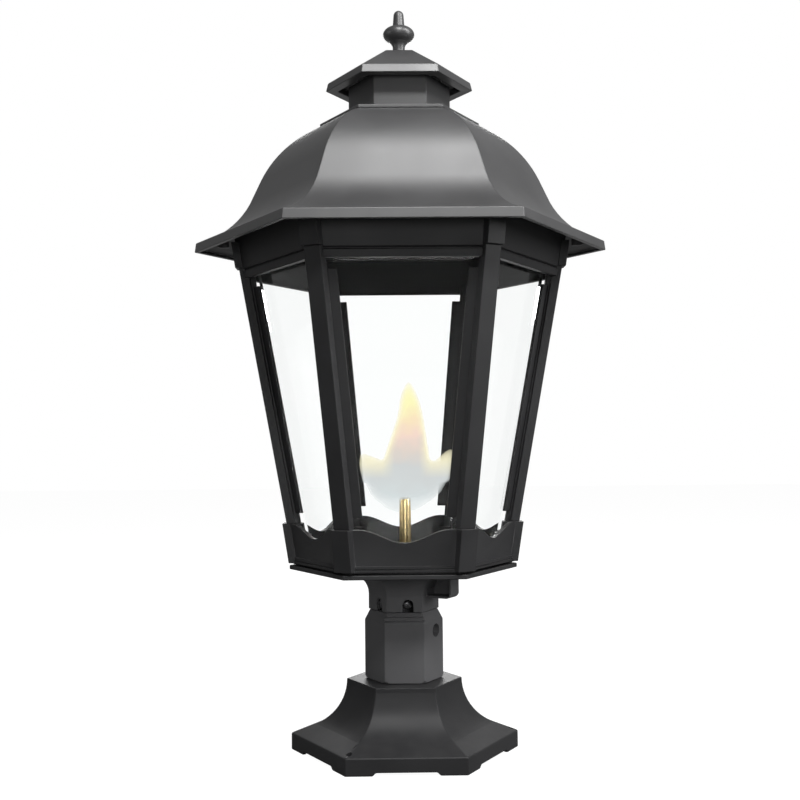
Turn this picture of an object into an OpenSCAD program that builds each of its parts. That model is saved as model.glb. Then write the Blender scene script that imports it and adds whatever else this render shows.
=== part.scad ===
/* [Pier base] */
// Corner radius of the six-sided foot
foot_r = 112; // [100:0.5:130]
// Height of the upright edge of the foot
foot_h = 16.5; // [12:0.5:22]
// Height that the foot's edge is cut back between its corner feet
foot_relief = 3; // [1:0.5:5]
// Length of each corner foot along the edge
foot_pad_l = 24; // [16:1:34]
// Height of the base
base_h = 69.2; // [60:0.1:90]
// Corner radius at the top of the base
base_neck_r = 57; // [52:0.1:62]
// Radius of the hollow sweep between neck and shoulder
sweep_r = 47; // [36:0.1:49]
// Slope of the shoulder above the foot, in degrees
shoulder_slope = 20; // [14:0.5:24]
// Wall of the base casting
base_wall = 5; // [3:0.5:7]
// Distance of an anchor hole from the corner radius of the foot
anchor_inset = 7.5; // [6.5:0.5:14]
// Radius of an anchor hole
anchor_hole_r = 2.75; // [2:0.05:4]

/* [Tube and collar] */
// Outside radius of the tube that carries the head
tube_r = 25.4; // [22:0.1:27]
// Wall of the tube
tube_wall = 3; // [2:0.1:5]
// Depth of the tube's socket in the base
socket_depth = 27; // [18:1:34]
// Corner radius of the six-sided collar
collar_r = 38.8; // [36:0.1:46]
// Corner radius at the collar's top
collar_top_r = 33.5; // [32.5:0.1:35.5]
// Height of the collar
collar_h = 67.5; // [50:0.5:110]
// Height of the bevel at the collar's top
collar_bevel_h = 10; // [6:0.5:14]
// Height of the turned bevel at the collar's foot
collar_foot_bevel = 3.5; // [2:0.5:12]
// Radius of the round hole in the collar's side
side_hole_r = 6.5; // [4:0.1:8]
// Turn of the drilled holes and slots away from the facets, in degrees
drill_turn = 7; // [0:1:9]

/* [Post fitter] */
// Corner radius of the fitter's skirt
fitter_r = 34.8; // [33:0.1:38]
// Height of the fitter
fitter_h = 39.5; // [34:0.5:60]
// Corner radius of the fitter's flange
fitter_flange_r = 54; // [48:0.5:70]
// Thickness of the fitter's flange
fitter_flange_t = 5.3; // [4:0.1:8]
// Width of an arched slot in the skirt
slot_w = 10.4; // [9:0.1:12]
// Height of an arched slot
slot_h = 12.2; // [11:0.1:15]
// Radius of a clamp screw's head
clamp_head_r = 4.4; // [3:0.1:4.5]
// Reach of the cast pocket from the axis
pocket_reach = 57; // [52:0.5:75]
// Width of the cast pocket
pocket_w = 17.4; // [12:0.2:24]
// Height of the cast pocket
pocket_h = 26.5; // [20:0.5:30]
// Wall of the cast pocket
pocket_wall = 2.4; // [1.6:0.1:4]

/* [Floor plate] */
// Corner radius of the floor plate
plate_r = 113; // [110:0.5:125]
// Thickness of the floor plate
plate_t = 4.2; // [3:0.1:7]
// Radius of a flange screw's head
flange_head_r = 4; // [3:0.1:5]

/* [Base ring] */
// Height of the base ring over its corner pads
ring_h = 41.5; // [36:0.5:55]
// Dark joint between plate and ring
ring_joint = 2.2; // [1:0.1:3]
// Corner radius of the ring's panels at their top
ring_r = 116.5; // [114:0.1:120]
// Outer radius of the corner pads at their top
ring_pad_r = 119.1; // [118:0.1:123]
// Outward lean of the ring, as a slope
ring_slope = 0.155; // [0.1:0.005:0.2]
// Wall of the ring's panels
ring_wall = 4.5; // [3:0.5:6]
// Drop of the wave in a panel's top edge
wave_drop = 12; // [6:0.5:16]
// Width of the wave in a panel's top edge
wave_w = 84; // [60:1:86]
// Thickness of the ring's inner floor
ring_floor_t = 3.5; // [2:0.1:6]
// Reach of the foot mouldings past the ring's corners
ring_mould = 2.2; // [1.6:0.1:2.4]
// Height of the foot mouldings
ring_mould_h = 5.8; // [4.6:0.1:8]

/* [Corner posts] */
// Height of a post between its seats
post_h = 253.3; // [180:0.1:330]
// Outer radius of a post at its foot
post_foot_r = 115; // [113:0.1:116]
// Outward lean of a post, as a slope
post_slope = 0.181; // [0.12:0.001:0.2]
// Width of a post's outer face
post_w = 17; // [13:0.1:20]
// Depth of the post behind its outer face
post_d = 8.5; // [6:0.1:9]
// Depth of the spine behind the face
spine_d = 13.5; // [12.2:0.1:15]
// Width of the spine
spine_w = 10; // [6:0.1:12]
// Distance of a glass stop's edge from the corner line
stop_reach = 20; // [19:0.1:24]
// Thickness of a glass stop
stop_t = 3.5; // [2:0.1:4]
// Distance of a glass stop from the panel plane
stop_in = 6.8; // [6:0.1:7.5]
// Length of post left bare below and above the glass stops
stop_bare = 10.5; // [4:0.5:24]
// Width of a corner pad on the rings
pad_w = 18.6; // [17.4:0.1:24]
// Depth of a corner pad on the rings
pad_d = 8; // [6:0.1:9]
// Distance of the upper pads' tops below the frieze's top
pad_drop = 6; // [5:0.1:12]

/* [Top ring] */
// Height of the frieze over the posts
frieze_h = 32; // [26:0.5:40]
// Drop of the ring's skirt below the corner pads
skirt_drop = 10.3; // [8:0.1:16]
// Corner radius of the frieze at its foot
frieze_r = 161.4; // [158:0.1:164]
// Outer radius of the frieze's corner pads at their foot
frieze_pad_r = 164.4; // [163:0.1:167]
// Wall of the frieze
frieze_wall = 5; // [3:0.5:6]
// Height of the moulding at the skirt's foot
mould_h = 7; // [4:0.5:9]
// Depth of the groove above the moulding
mould_groove = 1.6; // [0.8:0.1:2.4]

/* [Roof] */
// Corner radius of the brim
brim_r = 206; // [196:0.5:225]
// Height of the brim's upright face
brim_h = 9.4; // [7:0.1:14]
// Drop of the brim below the frieze's top
brim_drop = 15.3; // [12:0.1:18]
// Height of the dome above the brim's face
dome_h = 116.4; // [90:0.1:140]
// Radius where the brim turns up into the bell
bell_foot_r = 150.8; // [146:0.1:155]
// Height of that point above the brim's face
bell_foot_h = 39; // [34:0.1:46]
// Radius where the bell turns in
bell_turn_r = 139.6; // [134:0.1:143]
// Height of that point above the brim's face
bell_turn_h = 62.4; // [52:0.1:70]
// Radius of the flat crown
crown_r = 79; // [74:0.1:88]
// Wall of the roof casting
roof_wall = 3.6; // [2.5:0.1:5]
// Thickness of a corner rib
rib_t = 4; // [3:0.1:6]

/* [Chimney] */
// Corner radius of the chimney's flange
chimney_flange_r = 80; // [76:0.1:90]
// Thickness of the chimney's flange
chimney_flange_t = 3.3; // [2:0.1:6]
// Corner radius of the chimney
chimney_r = 51; // [44:0.1:56]
// Wall of the chimney
chimney_wall = 3.5; // [2:0.1:5]
// Height of the chimney above its flange
chimney_h = 37; // [34:0.1:50]
// Thickness of the bridge in the chimney's mouth
bridge_t = 3; // [2:0.1:5]
// Width of a bridge arm
bridge_w = 9; // [6:0.1:14]
// Radius of the bridge's centre stem
stem_r = 7; // [5:0.1:9]

/* [Vent cap] */
// Corner radius at the foot of the cap
cap_r = 73.8; // [68:0.1:84]
// Height of the cap's upright face
cap_face_h = 8.2; // [5:0.1:11]
// Height of the cap's sloping sides
cap_slope_h = 26.8; // [20:0.1:40]
// Corner radius of the cap's flat top
cap_top_r = 25.4; // [20:0.1:34]
// Corner radius of the recess under the cap
cap_recess_r = 61.5; // [59:0.1:65]
// Wall of the cap's sloping sides
cap_wall = 4.5; // [3:0.1:6]
// Overlap of the cap over the chimney's mouth
cap_overlap = 4.5; // [0:0.1:5]

/* [Finial] */
// Radius of the finial's neck
finial_neck_r = 6.1; // [5:0.1:8]
// Height of the finial's neck
finial_neck_h = 14; // [10:0.1:20]
// Radius of the ball
ball_r = 15.8; // [11:0.1:20]
// Height of the ball
ball_h = 17; // [13:0.1:24]
// Radius at the foot of the spindle
spindle_r = 5.9; // [4:0.1:7]
// Height of the spindle
spindle_h = 16; // [10:0.1:30]
// Radius of the finial's threaded stud
stud_r = 3; // [2.5:0.1:4]

/* [Gas line and burner] */
// Outside radius of the supply pipe
pipe_r = 8.55; // [7:0.05:10]
// Wall of the supply pipe
pipe_wall = 2.3; // [1.5:0.1:3]
// Height of the pipe's open end above the ground
pipe_foot = 12; // [8:1:20]
// Length of the turned-down end that takes the gas union
pipe_end_l = 16; // [10:1:20]
// Height of the valve body
valve_h = 17; // [16:0.5:22]
// Radius of the valve body
valve_r = 12.5; // [11:0.1:16]
// Length of the valve key's bar
key_l = 16; // [12:0.5:16.5]
// Radius of the burner tube
burner_r = 5.75; // [4.5:0.05:7]
// Height of the burner's mouth above the floor plate
burner_h = 66; // [50:1:90]
// Offset of the gas line from the lamp's axis
burner_x = 2.2; // [-4:0.1:4]
// Height of the slotted burner tip
tip_h = 9; // [6:0.5:14]

/* [Hinge] */
// Distance of each hinge from the middle
hinge_x = 48; // [30:1:60]
// Radius of a hinge knuckle
knuckle_r = 4; // [3.5:0.1:4.5]
// Radius of a hinge pin
hinge_pin_r = 2; // [1.5:0.1:2.4]
// Width of the roof's hinge lug
lug_w = 9; // [6:0.5:14]
// Width of a bracket cheek
cheek_w = 6; // [4:0.5:8]

/* [Glass] */
// Thickness of a glass pane
glass_t = 3; // [2:0.1:4]
// Distance of a pane's edge from the corner line
glass_edge = 16.3; // [16.2:0.1:17.6]

/* [Clearance] */
// Gap between pieces that only rest on or in each other
seat = 0.3; // [0.1:0.05:0.5]
// Gap between a hinge pin or key stem and its bore
running = 0.05; // [0.03:0.01:0.09]

/* [Hidden] */
SIDES = 6;
FACETS = [30, 90, 150, 210, 270, 330];
CORNERS = [0, 60, 120, 180, 240, 300];
flat = cos(30);
round_fn = 64;

// Levels, from the ground up
base_top = base_h;
collar_foot = base_top + seat;
collar_top = collar_foot + collar_h;
fitter_foot = collar_top + seat;
plate_foot = fitter_foot + fitter_h;
plate_top = plate_foot + plate_t;
ring_foot = plate_top + ring_joint;
ring_top = plate_top + ring_h;
ring_mould_top = ring_foot + ring_mould_h;
post_top = ring_top + post_h;
frieze_top = post_top + frieze_h;
brim_foot = frieze_top - brim_drop;
brim_top = brim_foot + brim_h;
crown_z = brim_top + dome_h;
flange_top = crown_z + chimney_flange_t;
chimney_top = flange_top + chimney_h;
cap_foot = chimney_top - cap_overlap;
cap_face_top = cap_foot + cap_face_h;
cap_top = cap_face_top + cap_slope_h;
neck_top = cap_top + finial_neck_h;
ball_top = neck_top + ball_h;

// Places that several pieces share
anchor_r = foot_r - anchor_inset;
post_lean = atan(post_slope);
pad_lean = atan(ring_slope);
stop_foot = ring_top + stop_bare;
stop_top = post_top - skirt_drop - stop_bare + 2;
glass_in = (stop_in + stop_t) / cos(post_lean) + 2 * seat;
glass_foot = ring_foot + ring_floor_t + seat;
glass_top = post_top;
clamp_z = fitter_foot + slot_h - slot_w / 2;
clamp_angles = [-90 + drill_turn, -150 + drill_turn, 90 + drill_turn, 30 + drill_turn];
socket_foot = base_top - socket_depth;
tube_foot = socket_foot + seat;
tube_top = plate_foot - fitter_flange_t - seat;
boss_wall = 6;
clamp_shank_r = 0.48 * clamp_head_r;
pipe_hole_r = pipe_r + 0.6;
flange_screw_r = (tube_r + fitter_flange_r * flat) / 2;
seat_rim_r = frieze_r - 1;
hinge_y = (frieze_pad_r + frieze_h * ring_slope) * sin(60) + pad_w / 4 + 0.75 * knuckle_r;
hinge_z = brim_foot - 0.8 * knuckle_r;
valve_foot = plate_top + seat;
valve_top = valve_foot + valve_h;
key_z = plate_top + key_l / 2 + 1;
burner_top = plate_top + burner_h;
bridge_foot = chimney_top;
cap_ceiling = cap_top - cap_wall;

function post_r(z) = post_foot_r + post_slope * (z - ring_top);
function ring_r_at(z) = ring_r + ring_slope * (z - ring_top);
function frieze_r_at(z) = frieze_r + ring_slope * (z - post_top);

// Points of a round arc from a to b that turns through twice the angle turn, bowed to the left of a-b
function arc_points(a, b, turn, n) =
    let (d = b - a, c = norm(d), u = d / c, v = [-u.y, u.x], rad = c / (2 * sin(turn)))
    [for (i = [0:n])
        let (t = turn * (2 * i / n - 1))
        a + u * (c / 2 + rad * sin(t)) + v * rad * (cos(t) - cos(turn))];

function shifted(points, by) = [for (p = points) p + by];
function reversed(points) = [for (i = [len(points) - 1:-1:0]) points[i]];

// Six-sided turned shape with its corners on the given profile
module six_sided(profile) {
    rotate_extrude($fn = SIDES) polygon(profile);
}

// Six-sided prism between two heights
module hex_prism(r, z0, z1) {
    translate([0, 0, z0]) cylinder(h = z1 - z0, r = r, $fn = SIDES);
}

// Everything between two heights, wide enough for any piece
module slab(z0, z1) {
    translate([-2 * brim_r, -2 * brim_r, z0]) cube([4 * brim_r, 4 * brim_r, z1 - z0]);
}

// Round bar or hole along the axis between two heights
module bar(r, z0, z1) {
    translate([0, 0, z0]) cylinder(h = z1 - z0, r = r, $fn = round_fn);
}

// Block that leans outward with its outer face through radius r at height z
module leaning_block(r, z, depth, width, slope, z0, z1) {
    intersection() {
        translate([r, 0, z])
            rotate([0, atan(slope), 0])
                translate([-depth, -width / 2, z0 - z - depth])
                    cube([depth, width, (z1 - z0) * 1.1 + 2 * depth]);
        slab(z0, z1);
    }
}

// Pier base: hollow casting with a bowed shoulder, corner feet and a socket for the tube

sweep_turn = 90 - shoulder_slope;
sweep_end = [base_neck_r + sweep_r * (1 - cos(sweep_turn)), base_top - sweep_r * sin(sweep_turn)];
shoulder_end = [foot_r, sweep_end.y - (foot_r - sweep_end.x) * tan(shoulder_slope)];
sweep = arc_points([base_neck_r, base_top], sweep_end, -sweep_turn / 2, 12);

module base_body(inset) {
    foot_top = min(shoulder_end.y, foot_h);
    six_sided(concat([[0, 0], [foot_r - inset, 0], [foot_r - inset, foot_top - inset]],
        shifted(reversed(sweep), [-inset, -inset]),
        [[0, base_top - inset]]));
}

module foot_cutbacks() {
    for (a = FACETS) rotate([0, 0, a])
        rotate([90, 0, 90])
            linear_extrude(foot_r)
                polygon([[-foot_r / 2 + foot_pad_l, -1], [foot_r / 2 - foot_pad_l, -1],
                    [foot_r / 2 - foot_pad_l - 4, foot_relief], [-foot_r / 2 + foot_pad_l + 4, foot_relief]]);
}

module pier_base() {
    color("#3d3e41") difference() {
        union() {
            difference() {
                base_body(0);
                translate([0, 0, -0.01]) base_body(base_wall);
            }
            bar(tube_r + boss_wall, socket_foot - 4, base_top - 1);
            for (a = [0, 120, 240]) rotate([0, 0, a]) intersection() {
                translate([anchor_r, 0, 0]) bar(9, 0, foot_h + 4);
                base_body(1);
            }
        }
        foot_cutbacks();
        bar(tube_r + seat, socket_foot, base_top + 1);
        bar(pipe_hole_r + 6, socket_foot - 10, socket_foot + 1);
        for (a = [0, 120, 240]) rotate([0, 0, a])
            translate([anchor_r, 0, 0]) rotate([0, 0, 90]) bar(anchor_hole_r, -1, base_h);
    }
}

// Tube that stands in the base and carries the collar and the head

module stub_tube() {
    color("#3b3c3e") difference() {
        bar(tube_r, tube_foot, tube_top);
        bar(tube_r - tube_wall, tube_foot - 1, tube_top + 1);
        for (a = clamp_angles) rotate([0, 0, a])
            translate([0, 0, clamp_z]) rotate([0, 90, 0])
                cylinder(h = 2 * tube_r, r = clamp_shank_r + 0.1, $fn = 32);
    }
}

module hex_collar() {
    color("#444549") difference() {
        intersection() {
            six_sided([[0, collar_foot], [collar_r, collar_foot], [collar_r, collar_top - collar_bevel_h],
                [collar_top_r, collar_top], [0, collar_top]]);
            rotate_extrude($fn = round_fn)
                polygon([[0, collar_foot], [collar_r * 0.95, collar_foot],
                    [collar_r + 0.2, collar_foot + collar_foot_bevel], [collar_r + 0.2, collar_top], [0, collar_top]]);
        }
        bar(tube_r + seat, collar_foot - 1, collar_top + 1);
        rotate([0, 0, -30 + drill_turn]) translate([tube_r, 0, collar_foot + collar_h * 0.71])
            rotate([0, 90, 0]) cylinder(h = collar_r, r = side_hole_r, $fn = 48);
        // narrow relief across the foot of the front bevel
        translate([-collar_r / 2, -collar_r * flat - 1, collar_top - collar_bevel_h * 0.82])
            cube([collar_r, 4.8, collar_bevel_h * 0.38]);
    }
}

// Post fitter: skirt, flare, flange and the cast pocket beside it

flare_foot = plate_foot - fitter_flange_t - (fitter_flange_r - fitter_r);

module arched_slot() {
    translate([tube_r - 2, -slot_w / 2, fitter_foot - 1]) cube([collar_r, slot_w, slot_h - slot_w / 2 + 1]);
    translate([tube_r - 2, 0, clamp_z]) rotate([0, 90, 0]) cylinder(h = collar_r, r = slot_w / 2, $fn = 48);
}

module pocket() {
    corner = 6;
    root_x = fitter_r * flat + 1;
    translate([0, -pocket_w / 2, plate_foot - pocket_h]) difference() {
        translate([0, pocket_w, 0]) rotate([90, 0, 0]) linear_extrude(pocket_w)
            polygon(concat([[tube_r + 2, 0]],
                arc_points([pocket_reach - corner, 0], [pocket_reach, corner], -45, 6),
                [[pocket_reach, pocket_h], [tube_r + 2, pocket_h]]));
        translate([root_x, -1, pocket_wall])
            cube([pocket_reach - root_x - pocket_wall, pocket_w - pocket_wall + 1, pocket_h - pocket_wall - 2]);
    }
}

module post_fitter() {
    color("#45464a") difference() {
        union() {
            six_sided(concat([[0, fitter_foot], [fitter_r, fitter_foot], [fitter_r, flare_foot]],
                arc_points([fitter_r, flare_foot], [fitter_flange_r, plate_foot - fitter_flange_t], 45, 8),
                [[fitter_flange_r, plate_foot], [0, plate_foot]]));
            rotate([0, 0, -30]) pocket();
        }
        bar(tube_r + seat, fitter_foot - 1, tube_top + seat);
        bar(pipe_hole_r + 4, tube_top, plate_foot + 1);
        for (a = clamp_angles) rotate([0, 0, a]) arched_slot();
        for (a = CORNERS) rotate([0, 0, a])
            translate([flange_screw_r, 0, 0])
                bar(flange_head_r / 2 + 0.1, plate_foot - fitter_flange_t - 6, plate_foot + 1);
    }
}

module clamp_screws() {
    head_t = 0.73 * clamp_head_r;
    slit = clamp_head_r / 3;
    color("#333436") for (a = clamp_angles) rotate([0, 0, a])
        translate([tube_r + seat, 0, clamp_z]) rotate([0, 90, 0]) difference() {
            union() {
                translate([0, 0, -tube_wall - 2]) cylinder(h = tube_wall + 3, r = clamp_shank_r, $fn = 32);
                cylinder(h = head_t, r = clamp_head_r, $fn = 48);
            }
            translate([-slit / 2, -clamp_head_r - 1, head_t - slit]) cube([slit, 2 * clamp_head_r + 2, 3]);
        }
}

// Floor plate with its flange screws

module floor_plate() {
    color("#37383b") difference() {
        hex_prism(plate_r, plate_foot, plate_top);
        translate([burner_x, 0, 0]) bar(pipe_hole_r, plate_foot - 1, plate_top + 1);
        for (a = CORNERS) rotate([0, 0, a])
            translate([flange_screw_r, 0, 0]) bar(flange_head_r / 2 + seat, plate_foot - 1, plate_top + 1);
    }
}

module flange_screws() {
    head_t = 0.7 * flange_head_r;
    thread_l = plate_t + fitter_flange_t;
    color("#7b7d80") for (a = CORNERS) rotate([0, 0, a])
        translate([flange_screw_r, 0, plate_top + 0.05]) difference() {
            union() {
                cylinder(h = head_t, r = flange_head_r, $fn = 40);
                translate([0, 0, -thread_l]) cylinder(h = thread_l, r = flange_head_r / 2, $fn = 24);
            }
            translate([0, 0, head_t * 0.46]) cylinder(h = head_t, r = flange_head_r * 0.4, $fn = 6);
        }
}

// Base ring: six panels with a wave in their top edge, corner pads and post bosses

module ring_wall_body() {
    inner = ring_wall / flat;
    foot_r_out = ring_r_at(ring_foot);
    mould_r = foot_r_out + ring_mould;
    ledge_r = foot_r_out - 5.3 * ring_wall;
    groove_foot = ring_foot + 0.41 * ring_mould_h;
    groove_top = ring_foot + 0.59 * ring_mould_h;
    groove_r = mould_r - 0.6 * ring_mould;
    six_sided([[foot_r_out - 5, plate_top], [foot_r_out - 5, ring_foot],
        [mould_r, ring_foot], [mould_r + 0.2, groove_foot], [groove_r, groove_foot], [groove_r, groove_top],
        [mould_r - 0.4, groove_top], [mould_r - 0.2, ring_mould_top],
        [ring_r_at(ring_mould_top), ring_mould_top], [ring_r_at(ring_top + 1), ring_top + 1],
        [ring_r_at(ring_top + 1) - inner, ring_top + 1], [foot_r_out - inner + 0.3, ring_foot + ring_floor_t],
        [ledge_r, ring_foot + ring_floor_t], [ledge_r, plate_top]]);
}

module wave_cut() {
    n = 20;
    half = wave_w / 2;
    rim = ring_top + 0.05;
    translate([0, 1.5 * ring_r, 0]) rotate([90, 0, 0]) linear_extrude(3 * ring_r)
        polygon(concat(
            [for (i = [0:n]) let (x = -half + wave_w * i / n)
                [x, rim - wave_drop * (1 + cos(180 * x / half)) / 2]],
            [[half, ring_top + 5], [-half, ring_top + 5]]));
}

module base_ring() {
    boss_w = spine_w + 2;
    color("#2e2f31") difference() {
        union() {
            ring_wall_body();
            for (a = CORNERS) rotate([0, 0, a]) {
                leaning_block(ring_pad_r, ring_top, pad_d, pad_w, ring_slope, ring_foot + 0.3, ring_top + 1);
                translate([ring_r_at(ring_foot) - 1.5 * spine_d, -boss_w / 2, plate_top + 1])
                    cube([1.3 * spine_d, boss_w, ring_h - wave_drop]);
                leaning_block(ring_pad_r - 2, ring_top, spine_d + 4, spine_w, ring_slope,
                    ring_top - wave_drop - 2, ring_top + 1);
            }
        }
        for (a = [0, 60, 120]) rotate([0, 0, a]) wave_cut();
        slab(ring_top, ring_top + 3);
    }
}

// Corner posts: flat outer face, spine and two glass stops

function stop_point(s, n, side) = [-s / 2 - n * flat, side * (s * flat - n / 2)];

module post_section() {
    polygon([[0, post_w / 2], [-post_d, post_w / 2], [-post_d, spine_w / 2], [-spine_d, spine_w / 2],
        [-spine_d, -spine_w / 2], [-post_d, -spine_w / 2], [-post_d, -post_w / 2], [0, -post_w / 2]]);
}

module stop_section() {
    near = stop_in;
    far = stop_in + stop_t;
    polygon([stop_point(stop_reach, near, 1), stop_point(stop_reach, far, 1),
        [-far / flat, 0],
        stop_point(stop_reach, far, -1), stop_point(stop_reach, near, -1),
        [-near / flat, 0]]);
}

module leaning_prism(z0, z1) {
    intersection() {
        translate([post_foot_r, 0, ring_top])
            rotate([0, post_lean, 0])
                translate([0, 0, -20]) linear_extrude(post_h * 1.05 + 40) children();
        slab(z0, z1);
    }
}

module post(at) {
    rotate([0, 0, at]) {
        leaning_prism(ring_top, post_top) post_section();
        leaning_prism(stop_foot, stop_top) stop_section();
    }
}

module corner_post_1() { color("#28292b") post(0); }
module corner_post_2() { color("#28292b") post(60); }
module corner_post_3() { color("#28292b") post(120); }
module corner_post_4() { color("#28292b") post(180); }
module corner_post_5() { color("#28292b") post(240); }
module corner_post_6() { color("#28292b") post(300); }

// Glass panes, behind the stops of two posts

module pane(at) {
    plane_lean = atan(post_slope * flat);
    foot_a = post_r(glass_foot) * flat - glass_in;
    foot_half = post_r(glass_foot) / 2 - glass_edge;
    top_half = post_r(glass_top) / 2 - glass_edge;
    rotate([0, 0, at]) intersection() {
        translate([foot_a, 0, glass_foot]) rotate([0, plane_lean, 0])
            translate([-glass_t, 0, 0]) rotate([90, 0, 90]) linear_extrude(glass_t)
                polygon([[-foot_half, -10], [foot_half, -10],
                    [top_half, (glass_top - glass_foot) / cos(plane_lean)],
                    [-top_half, (glass_top - glass_foot) / cos(plane_lean)]]);
        slab(glass_foot, glass_top);
    }
}

module glass_pane_1() { color("#dfe8ea", 0.3) pane(30); }
module glass_pane_2() { color("#dfe8ea", 0.3) pane(90); }
module glass_pane_3() { color("#dfe8ea", 0.3) pane(150); }
module glass_pane_4() { color("#dfe8ea", 0.3) pane(210); }
module glass_pane_5() { color("#dfe8ea", 0.3) pane(270); }
module glass_pane_6() { color("#dfe8ea", 0.3) pane(330); }

// Clips that hold the panes' feet against the posts' stops

module glass_clips() {
    clip_t = 0.4 * glass_t;
    clip_w = 3 * glass_t;
    from_middle = 0.2 * post_r(glass_foot);
    inner_a = post_r(glass_foot) * flat - glass_in - glass_t - clip_t;
    color("#a59a78") for (a = FACETS) rotate([0, 0, a])
        for (side = [-1, 1]) translate([inner_a, side * from_middle - clip_w / 2, glass_foot - seat + 0.05]) {
            translate([-1.1 * clip_w, 0, 0]) cube([1.1 * clip_w, clip_w, clip_t]);
            translate([-clip_t, 0, 0]) cube([clip_t, clip_w, clip_w]);
        }
}

// Top ring: skirt with a moulding, frieze, corner pads and a seat for the roof

module frieze_body() {
    skirt_foot = post_top - skirt_drop;
    groove_z = skirt_foot + mould_h;
    inner = frieze_wall / flat;
    out = mould_groove / 2;
    groove_r = frieze_r_at(groove_z) - mould_groove;
    groove_top = groove_z + 1.5 * mould_groove;
    ledge_r = frieze_r - 2.8 * frieze_wall;
    ledge_z = frieze_top - 0.9 * frieze_wall;
    six_sided([[frieze_r_at(skirt_foot) + out, skirt_foot], [frieze_r_at(groove_z) + out, groove_z],
        [groove_r, groove_z + 0.4 * mould_groove], [groove_r, groove_z + 1.1 * mould_groove],
        [frieze_r_at(groove_top), groove_top], [frieze_r_at(frieze_top), frieze_top],
        [ledge_r, frieze_top], [ledge_r, ledge_z],
        [frieze_r_at(frieze_top) - inner, ledge_z],
        [frieze_r_at(skirt_foot) - inner, skirt_foot]]);
}

module top_ring() {
    color("#2b2c2e") difference() {
        union() {
            frieze_body();
            for (a = CORNERS) rotate([0, 0, a])
                leaning_block(frieze_pad_r, post_top, pad_d, pad_w, ring_slope, post_top, frieze_top - pad_drop);
        }
        for (a = CORNERS) rotate([0, 0, a]) {
            leaning_prism(ring_top, post_top)
                translate([-spine_d - 2, -post_w / 2 - seat]) square([spine_d + 12, post_w + 2 * seat]);
        }
    }
}

// Roof: bell with a broad brim, corner ribs, a seating rim and hinge lugs

brim_top_r = brim_r - 0.14 * brim_h;
bell_foot = [bell_foot_r, brim_top + bell_foot_h];
bell_turn = [bell_turn_r, brim_top + bell_turn_h];
bell = concat(
    arc_points([brim_top_r, brim_top], bell_foot, 25, 10),
    arc_points(bell_turn, [crown_r, crown_z], -22, 14));
bell_inside = [for (p = bell) if (p.x < seat_rim_r - 4) p - [roof_wall, roof_wall]];

module roof_shell() {
    lip = 1.5 * roof_wall;
    under = 1.3 * roof_wall;
    rim_in = seat_rim_r - 1.7 * roof_wall;
    six_sided(concat([[brim_r, brim_foot]], bell,
        [[chimney_r - 2, crown_z], [chimney_r - 2, crown_z - roof_wall]],
        reversed(bell_inside),
        [[rim_in, frieze_top + seat], [seat_rim_r, frieze_top + seat],
         [seat_rim_r + 2, frieze_top + seat + 3],
         [brim_r - 14, brim_top - under + 1.2], [brim_r - lip, brim_foot + 0.36 * brim_h],
         [brim_r - lip, brim_foot]]));
}

module corner_rib() {
    rib_in = frieze_pad_r + frieze_h * ring_slope + 2.2;
    rib_foot = brim_foot + 4.5;
    translate([0, rib_t / 2, 0]) rotate([90, 0, 0]) linear_extrude(rib_t)
        polygon([[rib_in, rib_foot], [rib_in + 9, rib_foot], [rib_in + 14, rib_foot + 3],
            [rib_in + 16, brim_top - 0.5], [rib_in, brim_top + 8]]);
}

module hinge_lug(side) {
    lug_x = side * hinge_x - lug_w / 2;
    translate([lug_x, hinge_y, hinge_z]) rotate([0, 90, 0]) cylinder(h = lug_w, r = knuckle_r, $fn = 48);
    intersection() {
        translate([lug_x, hinge_y - knuckle_r, hinge_z]) cube([lug_w, 2 * knuckle_r, dome_h]);
        six_sided(concat([[0, hinge_z - 1], [brim_r, hinge_z - 1]],
            shifted(bell, [-roof_wall / 2, -roof_wall / 2]), [[0, crown_z - roof_wall / 2]]));
    }
}

module roof() {
    color("#55565a") difference() {
        union() {
            roof_shell();
            for (a = CORNERS) rotate([0, 0, a]) corner_rib();
            for (side = [-1, 1]) hinge_lug(side);
        }
        for (side = [-1, 1]) translate([side * hinge_x - lug_w, hinge_y, hinge_z])
            rotate([0, 90, 0]) cylinder(h = 2 * lug_w, r = hinge_pin_r + running, $fn = 48);
    }
}

module hinge_brackets() {
    back = frieze_r_at(hinge_z) * flat;
    plate_z0 = hinge_z - 3 * knuckle_r;
    color("#3a3b3e") for (side = [-1, 1]) translate([side * hinge_x, 0, 0]) difference() {
        union() {
            for (half = [-1, 1]) translate([half * (lug_w / 2 + seat + cheek_w / 2) - cheek_w / 2, 0, 0]) {
                translate([0, hinge_y, hinge_z]) rotate([0, 90, 0]) cylinder(h = cheek_w, r = knuckle_r, $fn = 48);
                translate([0, back + knuckle_r / 2, hinge_z - knuckle_r])
                    cube([cheek_w, hinge_y - back - knuckle_r / 2, 2 * knuckle_r]);
            }
            translate([-lug_w / 2 - seat - cheek_w, back + 0.9, plate_z0])
                cube([lug_w + 2 * seat + 2 * cheek_w, 0.75 * knuckle_r, 5.5 * knuckle_r]);
        }
        translate([-2 * lug_w, hinge_y, hinge_z]) rotate([0, 90, 0])
            cylinder(h = 4 * lug_w, r = hinge_pin_r + running, $fn = 48);
        frieze_side_cut();
    }
}

// The frieze's back face, as a block that the brackets are trimmed to
module frieze_side_cut() {
    rotate([0, 0, 90]) leaning_block(frieze_r_at(post_top) * flat + 0.05, post_top, 20, 4 * hinge_x,
        ring_slope * flat, post_top - skirt_drop, frieze_top + 10);
}

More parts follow.
